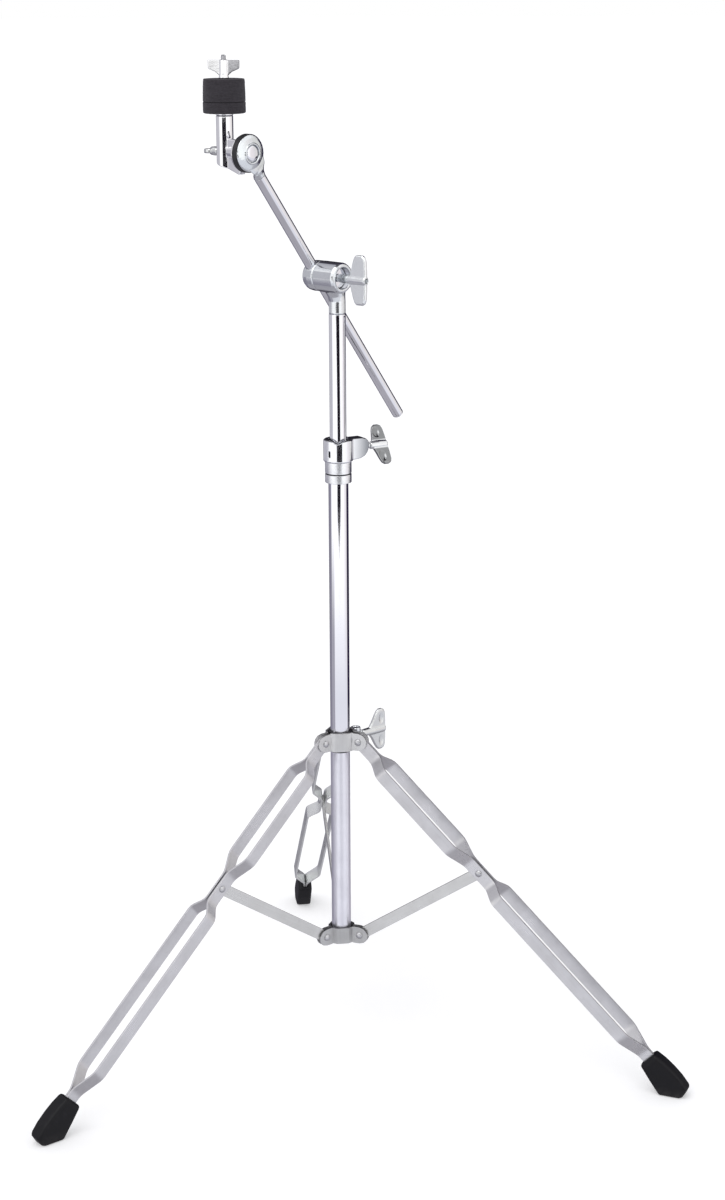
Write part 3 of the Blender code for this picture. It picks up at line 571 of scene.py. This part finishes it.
def felt_ring(node, origin, axis, material, bore, barrel, top_in, rims, seed):
    """Pressed felt washer: barrelled side, soft uneven corners, matted skin and loose fibres."""
    low, high, radius = heights(node, origin, axis)
    low, high = low + FELT_GAP, high - FELT_GAP
    radius -= FELT_ROOM
    seat = bore + 4.0
    under, over = rims
    profile = [(bore, low), (seat, low)]
    profile += [(seat + (radius - 3.2 - seat) * (k + 1) / 5.0, low) for k in range(5)]
    profile += arc(radius - under, low + under, under, -80.0, 0.0, 6)
    side = high - low - under - over
    rows = max(8, round(side / 0.9))
    for k in range(1, rows):
        t = k / rows
        profile.append((radius - top_in * t + bulge(barrel, t), low + under + side * t))
    profile += arc(radius - top_in - over, high - over, over, 0.0, 85.0, 6)
    profile += [(bore + (radius - top_in - 2.2 - bore) * k / 5.0, high) for k in range(5, -1, -1)]
    bm = turned(profile, origin, axis, 180)
    offset = Vector((seed * 3.1, seed * 1.7, seed * 0.9))
    for v in bm.verts:
        p = (v.co - origin) / MM
        h = p.dot(axis)
        out = p - axis * h
        if out.length < bore + 1.0:
            continue
        uneven = sum(noise.noise(p * scale + offset) * size for scale, size in FELT_WAVES)
        near_side = min(1.0, max(0.0, (out.length - (radius - 3.0)) / 3.0))
        inward = math.copysign(0.5 * (1.0 - near_side), h - (low + high) / 2)
        v.co += (out.normalized() * uneven * near_side - axis * abs(uneven) * inward) * MM
    obj = stand_for(from_bmesh(node + "_pressed", bm, material, 80.0, False), node)
    fuzz(node, origin, axis, material, radius, top_in, barrel, low, high, seed)
    return obj


def fuzz(node, origin, axis, material, radius, top_in, barrel, low, high, seed, count=1100):
    """Loose wool fibres that stand a little off the felt's side and rims."""
    draw = random.Random(seed)
    x = axis.orthogonal().normalized()
    y = axis.cross(x)
    bm = bmesh.new()
    for _ in range(count):
        a = draw.uniform(0.0, 2.0 * math.pi)
        t = draw.random()
        h = low + 0.5 + (high - low - 1.0) * t
        out = x * math.cos(a) + y * math.sin(a)
        round_x = x * -math.sin(a) + y * math.cos(a)
        reach = radius - top_in * t + bulge(barrel, t) - 0.25
        root = out * reach + axis * h
        heading = (round_x * draw.uniform(-1.0, 1.0) + axis * draw.uniform(-0.7, 0.7)).normalized()
        length = draw.uniform(0.8, 2.4)
        lift = draw.uniform(0.15, 0.55)
        points = []
        for k in range(4):
            s = k / 3.0
            rise = lift * math.sin(math.pi * min(1.0, s * 1.1)) + 0.12 * s
            points.append(root + heading * length * s + out * (rise - 0.5 * (length * s) ** 2 / reach))
        rings = []
        for k, p in enumerate(points):
            thick = 0.045 * (1.0 - 0.25 * k)
            turns = (2 * math.pi * j / 3 for j in range(3))
            corners = (p + (out * math.cos(b) + axis * math.sin(b)) * thick for b in turns)
            rings.append([bm.verts.new(origin + corner * MM) for corner in corners])
        for low_ring, high_ring in zip(rings, rings[1:]):
            for j in range(3):
                i = (j + 1) % 3
                bm.faces.new((low_ring[j], low_ring[i], high_ring[i], high_ring[j]))
        bm.faces.new(tuple(reversed(rings[0])))
        bm.faces.new(tuple(rings[-1]))
    bmesh.ops.recalc_face_normals(bm, faces=bm.faces)
    obj = from_bmesh(node + "_fibres", bm, material, 180.0, False)
    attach(obj, BODY[node])


# ---------------------------------------------------------------- the stand


# Radii, depths and heights in millimetres.
BASE_BORE = 11.2
UPPER_BORE = 9.3
ROD_BORE = 6.05
SLEEVE_BORE = 13.0
GROOVE_AT = 10.2
GROOVE_DEPTH = 1.3
DIMPLE_DOWN = 10.9
DIMPLE_RADIUS = 1.35
DIMPLE_AROUND = math.radians(-34.0)


def build_tubes():
    bright = chrome("tube_chrome", along=UP)
    drawn = worn_tube("base_plate", centre("collar_plate_0").z)
    tube_skin("base_tube", TUBE, UP, BASE_BORE, drawn)
    hole_at = TUBE + UP * (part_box("upper_tube")[1].z - DIMPLE_DOWN * MM)
    upper = tube_skin("upper_tube", TUBE, UP, UPPER_BORE, bright)
    out = Vector((math.cos(DIMPLE_AROUND), math.sin(DIMPLE_AROUND), 0.0))
    pin = [(0.0, 5.0), (DIMPLE_RADIUS, 5.0), (DIMPLE_RADIUS, 14.0), (0.0, 14.0)]
    drill = from_bmesh("drill", turned(pin, hole_at, out, 24), bright)
    cut = upper.modifiers.new("dimple", "BOOLEAN")
    cut.operation = "DIFFERENCE"
    cut.solver = "EXACT"
    cut.object = drill
    bake_modifiers(upper)
    bpy.data.objects.remove(drill, do_unlink=True)
    tube_skin("boom_rod", ROD_POINT, ROD_UP, ROD_BORE, chrome("boom_chrome", along=ROD_UP), 0.45)
    build_sleeve()
    black = moulded("black_plastic")
    for node in ("base_cap", "collar_bushing", "clamp_bushing", "tube_guide"):
        broken_edges(node, black, 0.25)
    broken_edges("boom_end_plug", chrome("plug_chrome", along=ROD_UP), 0.25)


def build_sleeve():
    """Turned sleeve on the base tube's upper end, with painted shade in the groove around it."""
    low, high, r = heights("clamp_sleeve", TUBE, UP)
    start, floor = low + GROOVE_AT, r - GROOVE_DEPTH
    profile = arc(r - 0.6, low + 0.6, 0.6, -90.0, 0.0, 4)
    profile += [(r, start), (r - 0.25, start + 0.4), (floor, start + 0.5)]
    profile += [(floor, start + 2.0), (r - 0.25, start + 2.1), (r, start + 2.5)]
    profile += arc(r - 0.5, high - 0.5, 0.5, 0.0, 90.0, 4) + [(SLEEVE_BORE, high), (SLEEVE_BORE, low)]
    ring = chrome("sleeve_chrome", (0.86, 0.87, 0.90), 0.20)
    sleeve = from_bmesh("clamp_sleeve_turned", turned(profile, TUBE, UP, 112), ring)
    # The groove's faces get a near-black finish: painted shade in the recess.
    sleeve.data.materials.append(chrome("groove_painted_shade", (0.05, 0.05, 0.055), 0.35))
    for face in sleeve.data.polygons:
        out = (face.center - TUBE) * Vector((1.0, 1.0, 0.0))
        face.material_index = int(SLEEVE_BORE + 0.6 < out.length / MM < r - 0.3)
    stand_for(sleeve, "clamp_sleeve")


# A strut's direction at rest, outward and upward.
STRUT_OUT = 0.826
STRUT_UP = 0.564


def build_tripod():
    # The last satin argument sets how much painted shade the faces that look up get.
    plate = satin("plate_satin", UP, (0.64, 0.64, 0.645), 0.30, 0.4)
    dull_plate = satin("bracket_satin", UP, (0.50, 0.50, 0.505), 0.32, 0.9)
    rivet = chrome("rivet_plate", (0.56, 0.56, 0.58), 0.30, UP)
    for i in range(3):
        pivot, _ = joint_frame(f"leg_{i}_fold")
        foot = centre(f"leg_{i}_foot")
        along = (foot - pivot).normalized()
        # Painted light: the same strip steel on every leg, with the rear leg's strips lighter for how the light
        # falls on them.
        leg_painted_light = (0.76, 0.77, 0.77) if i == REAR_LEG else (0.61, 0.605, 0.625)
        strips = satin(f"strip_satin_{i}", along, leg_painted_light)
        for side in ("left", "right"):
            broken_edges(f"leg_{i}_strip_{side}", strips, 0.45, 3)
            broken_edges(f"leg_{i}_rivet_{side}", rivet, 0.3)
        out = (Vector((foot.x, foot.y, 0.0)) - TUBE).normalized()
        rise = (out * STRUT_OUT + UP * STRUT_UP).normalized()
        # Painted shade on the struts' faces that look up, left off on the rear leg.
        top_shade = 0.0 if i == REAR_LEG else 0.85
        strut = satin(f"strut_satin_{i}", rise, (0.63, 0.63, 0.625), 0.30, top_shade)
        broken_edges(f"strut_{i}", strut, 0.4, 3)
        recast(f"leg_{i}_foot", rubber(f"rubber_{i}"), 0.7, 9)
        for kind, finish in (("collar", plate), ("bracket", dull_plate)):
            broken_edges(f"{kind}_plate_{i}", finish, 0.4, 3)
            broken_edges(f"{kind}_rivet_{i}", rivet, 0.3)


def build_castings():
    bolt = cast("wing_cast", (0.66, 0.67, 0.67), 0.20)
    # The boom casting gets painted shade on its faces that look up.
    bright = cast("boom_cast", (0.73, 0.75, 0.77), 0.15, top=(0.88, 0.99, 0.6))
    _, lug = joint_frame("clamp_wing_turn")
    # Painted shade: the clamp darkens along its lug, and its faces that look up are darkened too.
    lug_shade = (TUBE, lug, 12.0, 37.0, (0.24, 0.25, 0.275))
    polished = cast("clamp_cast", (0.82, 0.83, 0.87), 0.04, lug_shade, top=(0.40, 0.70, 0.88))
    recast("boom_body", bright, 0.5, 12)
    recast("boom_head", bright, 0.5, 10)
    recast("clamp_body", polished, 0.42, 7)
    recast("collar_nut", bright, 0.35, 4)
    origin, axis = joint_frame("collar_wing_turn")
    dishes = wing_recesses(origin, axis, UP, along=66.5, out=15.0, sizes=(4.0, 8.0, 1.2))
    recast("collar_wing_bolt", bolt, 0.4, 9, dishes)
    origin, axis = joint_frame("clamp_wing_turn")
    span = Matrix.Rotation(math.radians(-36.0), 3, axis) @ UP
    # Painted shade: the wing blades darker than the hub.
    blade_shade = (origin, span, 5.2, 6.6, (0.25, 0.255, 0.26))
    grey = cast("clamp_wing_cast", (0.78, 0.79, 0.80), 0.12, blades=blade_shade)
    dishes = wing_recesses(origin, axis, span, along=57.4, out=16.5, sizes=(5.4, 8.4, 2.3))
    recast("clamp_wing_bolt", grey, 0.4, 9, dishes)
    recast("boom_wing_nut", cast("boom_nut_cast", (0.85, 0.87, 0.88), 0.22), 0.4, 9)
    recast("tilter_wing_nut", bolt, 0.3, 5)
    # Painted shade: the top nut's right wing greyer than its left, and painted dark outlines on its edges.
    right_wing_shade = (STEM_POINT, RIGHT, 4.5, 6.5, (0.44, 0.44, 0.46))
    top = cast("top_nut_cast", (0.90, 0.90, 0.91), 0.08, right_wing_shade, outline=(0.10, 0.10, 0.11))
    recast("top_wing_nut", top, 0.3, 5)


def build_tilter():
    recast("tilter_disc", cast("disc_cast", (0.74, 0.77, 0.79), 0.12), 0.4, 6)
    recast("tilter_post", cast("post_chrome", (0.86, 0.86, 0.88), 0.035), 0.42, 9)
    broken_edges("tilter_bolt", chrome("bolt_chrome", along=BOOM_N), 0.25)
    rubbery = moulded("washer_black", (0.012, 0.012, 0.014), 0.4)
    washer_ring("tilter_washer", DISC_POINT, BOOM_N, rubbery, 3.4)
    washer_ring("boom_washer", CLAMP_POINT, BOOM_N, chrome("washer_chrome", along=BOOM_N), 3.15)
    washer_ring("seat_washer", STEM_POINT, UP, chrome("seat_chrome", along=BOOM_H), 3.35)
    broken_edges("cymbal_sleeve", moulded("sleeve_nylon"), 0.3)
    zinc = chrome("thread_zinc", (0.62, 0.62, 0.64), 0.16)
    m6 = {"radius": 3.0, "pitch": 1.0}
    threaded("stem_thread", "stem", STEM_POINT, UP, plain=84.0, high=112.0, material=zinc, **m6)
    wool = pressed_felt("felt_wool")
    felt_ring("lower_felt", STEM_POINT, UP, wool, 5.9, 0.12, 0.0, (2.4, 0.7), 11)
    felt_ring("upper_felt", STEM_POINT, UP, wool, 5.9, 0.10, 0.75, (0.7, 1.1), 23)


# ---------------------------------------------------------------- studio

CAMERA_AT = (-0.0032, -2.8583, 1.3977)
CAMERA_PITCH = 15.813
CAMERA_ROLL = -0.234
CAMERA_LENS = 67.36
FLOOR_SIDE = 120.0
FLOOR_DROP = 0.0004
SUN_ENERGY = 0.95
SUN_SPREAD = math.radians(48.0)
SUN_TURN = (math.radians(24.0), math.radians(-14.0), 0.0)
SOFTBOX = (1.32, 1.32, 1.32)
NIGHT = (0.05, 0.045, 0.06)
DUSK = (0.08, 0.075, 0.10)

# What mirrors see around the stand: colours by azimuth in degrees, 0 behind the camera.
WALLS = (
    (-180.0, NIGHT),
    (-163.0, DUSK),
    (-150.0, (0.25, 0.24, 0.30)),
    (-98.0, (0.31, 0.30, 0.36)),
    (-86.0, SOFTBOX),
    (56.0, SOFTBOX),
    (80.0, (1.05, 1.0, 1.0)),
    (98.0, (0.95, 0.92, 0.93)),
    (107.0, (0.025, 0.018, 0.05)),
    (152.0, (0.03, 0.022, 0.055)),
    (166.0, DUSK),
    (180.0, NIGHT),
)

# Soft-edged panels over the walls: colour, then the height ramps and the azimuth ramps that bound each,
# in degrees from 0 to full strength. A later panel lies over the ones before it.
PANELS = (
    ((0.42, 0.41, 0.47), ((-13.5, -17.0),), ((-50.0, -62.0), (-100.0, -88.0))),
    ((0.60, 0.595, 0.64), ((-12.7, -12.1),), ((-66.0, -82.0), (-158.0, -146.0))),
    ((0.90, 0.88, 0.86), ((-12.7, -12.1),), ((92.0, 98.0), (126.0, 121.0))),
    ((0.52, 0.51, 0.56), ((-18.5, -20.5),), ((92.0, 104.0),)),
    ((0.88, 0.89, 0.95), ((-14.6, -18.8),), ((-62.0, -50.0), (104.0, 92.0))),
    ((1.08, 1.10, 1.16), ((-19.2, -20.2), (-28.0, -23.0)), ((-52.0, -36.0), (8.0, -8.0))),
)


def build_floor():
    mesh = bpy.data.meshes.new("floor")
    s = FLOOR_SIDE / 2
    mesh.from_pydata([(-s, -s, 0), (s, -s, 0), (s, s, 0), (-s, s, 0)], [], [(0, 1, 2, 3)])
    obj = bpy.data.objects.new("floor", mesh)
    bpy.context.scene.collection.objects.link(obj)
    obj.location.z = FLOOR_Z - FLOOR_DROP
    paper = Nodes("floor_paper").finish(
        Base_Color=(0.74, 0.74, 0.75, 1.0),
        Roughness=0.9,
        Specular_IOR_Level=0.0,
        Emission_Color=(1.0, 1.0, 1.0, 1.0),
        Emission_Strength=0.335,
    )
    obj.data.materials.append(paper)
    obj.visible_glossy = False


class WorldNodes(Tree):
    """The world's node tree."""

    def ramp(self, value, a, b):
        """Smooth step from 0 at a to 1 at b."""
        inputs = {"Value": value, "From Min": a, "From Max": b}
        return self.add("ShaderNodeMapRange", inputs, interpolation_type="SMOOTHSTEP").outputs[0]

    def product(self, factors):
        result = factors[0]
        for factor in factors[1:]:
            result = self.math("MULTIPLY", result, factor)
        return result


def surrounding_walls(w, azimuth):
    """The walls' colour at an azimuth in degrees."""
    around = w.add("ShaderNodeValToRGB", {0: w.math("ADD", w.math("DIVIDE", azimuth, 360.0), 0.5)})
    line = around.color_ramp
    while len(line.elements) < len(WALLS):
        line.elements.new(0.5)
    for element, (angle, colour) in zip(line.elements, WALLS):
        element.position = angle / 360.0 + 0.5
        element.color = (*colour, 1.0)
    return around.outputs[0]


def dark_gap(w, azimuth, height):
    """The dark gap behind the camera: narrower and to the right when low, with a lit strip at eye level."""
    rise = w.ramp(height, -12.0, -5.0)
    wide = w.math("ADD", 19.0, w.math("MULTIPLY", rise, 8.0))
    half = w.math("MULTIPLY", w.ramp(height, -14.7, -13.4), wide)
    middle = w.math("SUBTRACT", 14.0, w.math("MULTIPLY", rise, 17.0))
    middle = w.math("SUBTRACT", middle, w.math("MULTIPLY", w.ramp(height, -12.3, -12.9), 8.0))
    off = w.math("ABSOLUTE", w.math("SUBTRACT", azimuth, middle))
    inside = w.ramp(w.math("SUBTRACT", off, half), 2.5, -2.5)
    strip = w.math("MULTIPLY", w.ramp(height, -3.2, -2.8), w.ramp(height, 4.0, 2.0))
    bounds = [w.ramp(height, 16.0, 9.0), w.ramp(height, -14.9, -14.3), w.math("SUBTRACT", 1.0, strip)]
    return w.product([inside, *bounds])


def build_world():
    """Even white light, and for mirrors a studio with a dark gap behind the camera and darker sides."""
    world = bpy.data.worlds.new("studio")
    bpy.context.scene.world = world
    world.use_nodes = True
    world.node_tree.nodes.clear()
    w = WorldNodes(world.node_tree)
    x, y, z = w.add("ShaderNodeSeparateXYZ", {0: w.add("ShaderNodeTexCoord").outputs["Generated"]}).outputs
    degrees = 180.0 / math.pi
    azimuth = w.math("MULTIPLY", w.math("ARCTAN2", x, w.math("MULTIPLY", y, -1.0)), degrees)
    height = w.math("MULTIPLY", w.math("ARCSINE", z), degrees)
    mirror = surrounding_walls(w, azimuth)
    for colour, up_down, left_right in PANELS:
        edges = [w.ramp(height, *ends) for ends in up_down]
        edges += [w.ramp(azimuth, *ends) for ends in left_right]
        mirror = w.mix(w.product(edges), mirror, colour)
    mirror = w.mix(dark_gap(w, azimuth, height), mirror, (0.012, 0.010, 0.016))
    mirror = w.mix(w.ramp(height, -38.0, -46.0), mirror, (0.46, 0.45, 0.49))
    ahead = w.ramp(w.math("ABSOLUTE", azimuth), 125.0, 100.0)
    overhead = w.math("MULTIPLY", w.ramp(height, 22.0, 34.0), ahead)
    mirror = w.mix(overhead, mirror, (1.15, 1.15, 1.16))
    mirror = w.mix(w.ramp(height, 58.0, 70.0), mirror, (0.09, 0.085, 0.10))
    path = w.add("ShaderNodeLightPath")
    seen = w.mix(path.outputs["Is Glossy Ray"], (0.72, 0.72, 0.735), mirror)
    seen = w.mix(path.outputs["Is Camera Ray"], seen, (1.0, 1.0, 1.0))
    shader = w.add("ShaderNodeBackground", {"Color": seen, "Strength": 1.0})
    w.put(w.add("ShaderNodeOutputWorld").inputs[0], shader.outputs[0])


def build_lights_and_camera():
    light = bpy.data.lights.new("overhead", "SUN")
    light.energy = SUN_ENERGY
    light.angle = SUN_SPREAD
    lamp = bpy.data.objects.new("overhead", light)
    lamp.rotation_euler = SUN_TURN
    bpy.context.scene.collection.objects.link(lamp)
    data = bpy.data.cameras.new("camera")
    data.lens = CAMERA_LENS
    data.sensor_width = 36.0
    data.clip_end = 200.0
    camera = bpy.data.objects.new("camera", data)
    camera.matrix_world = (
        Matrix.Translation(CAMERA_AT)
        @ Matrix.Rotation(math.radians(90.0 - CAMERA_PITCH), 4, "X")
        @ Matrix.Rotation(math.radians(CAMERA_ROLL), 4, "Z")
    )
    bpy.context.scene.collection.objects.link(camera)
    bpy.context.scene.camera = camera
    bpy.context.scene.view_settings.view_transform = "Standard"


build_tubes()
build_tripod()
build_castings()
build_tilter()
build_floor()
build_world()
build_lights_and_camera()

bpy.context.view_layer.update()
